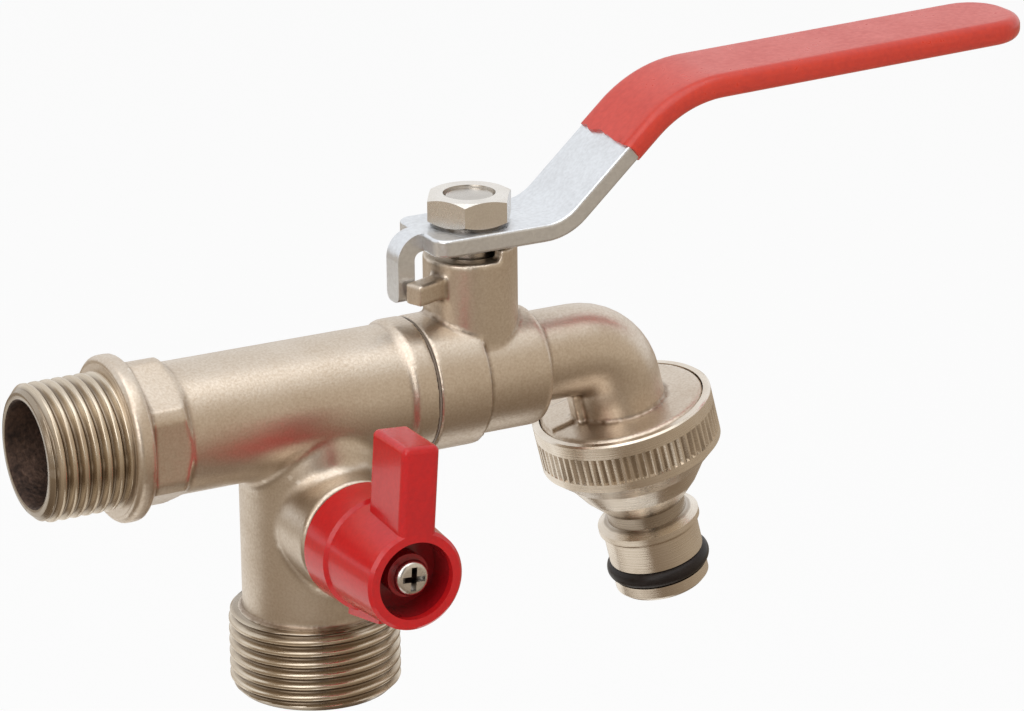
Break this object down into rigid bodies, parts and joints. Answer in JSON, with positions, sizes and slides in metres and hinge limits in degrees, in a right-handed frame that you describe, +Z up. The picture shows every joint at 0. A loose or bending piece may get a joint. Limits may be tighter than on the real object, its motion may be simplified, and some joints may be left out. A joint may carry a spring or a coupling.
{
  "type": "dual outlet garden tap",
  "caption": "Garden tap with a threaded inlet, a lever ball valve feeding an angled spout with a hose nipple, and a threaded branch outlet with its own knob valve.",
  "frame": {"origin": "centre of the flange face that seats on the wall fitting, on the axis of the inlet thread", "axes": "+X along the tap from the inlet to the spout, +Z up, -Y towards the side of the red knob"},
  "size_m": [0.1726, 0.0497, 0.0912],
  "materials": {
    "satin_nickel_forging": "sand blasted, nickel plated",
    "bright_nickel_turned": "turned, nickel plated",
    "zinc_steel": "zinc plated",
    "bright_steel": "bright plated",
    "red_grip": "soft dipped coating",
    "red_knob": "moulded, glossy",
    "black_rubber": "smooth",
    "sealing_ring": "flat gasket",
    "white_seat": "low friction plastic",
    "polished_ball": "polished",
    "brass_stem": "turned"
  },
  "bodies": {
    "tap_body": {"tee_body": "satin_nickel_forging", "bib_body": "satin_nickel_forging", "joint_ring": "sealing_ring", "main_seat_inlet": "white_seat", "main_seat_outlet": "white_seat", "branch_seat_upper": "white_seat", "branch_seat_lower": "white_seat", "branch_seat_retainer": "bright_nickel_turned", "hose_adaptor": "bright_nickel_turned", "hose_adaptor_washer": "black_rubber", "hose_adaptor_o_ring": "black_rubber"},
    "lever_assembly": {"main_ball": "polished_ball", "main_stem": "brass_stem", "main_stem_thrust_washer": "white_seat", "main_stem_o_ring_lower": "black_rubber", "main_stem_o_ring_upper": "black_rubber", "lever": "zinc_steel", "lever_grip": "red_grip", "lever_washer": "bright_steel", "lever_nut": "bright_nickel_turned"},
    "knob_assembly": {"branch_ball": "polished_ball", "branch_stem": "brass_stem", "branch_stem_thrust_washer": "white_seat", "branch_stem_o_ring": "black_rubber", "branch_knob": "red_knob", "branch_knob_screw": "bright_steel"}
  },
  "joints": [
    {"name": "lever_turn", "type": "hinge", "parent": "tap_body", "child": "lever_assembly", "pos_m": [0.06135, 0, 0], "axis": [0, 0, 1], "range_deg": [-90, 0]},
    {"name": "knob_turn", "type": "hinge", "parent": "tap_body", "child": "knob_assembly", "pos_m": [0.0335, 0, -0.01685], "axis": [0, 1, 0], "range_deg": [-4, 86]}
  ]
}
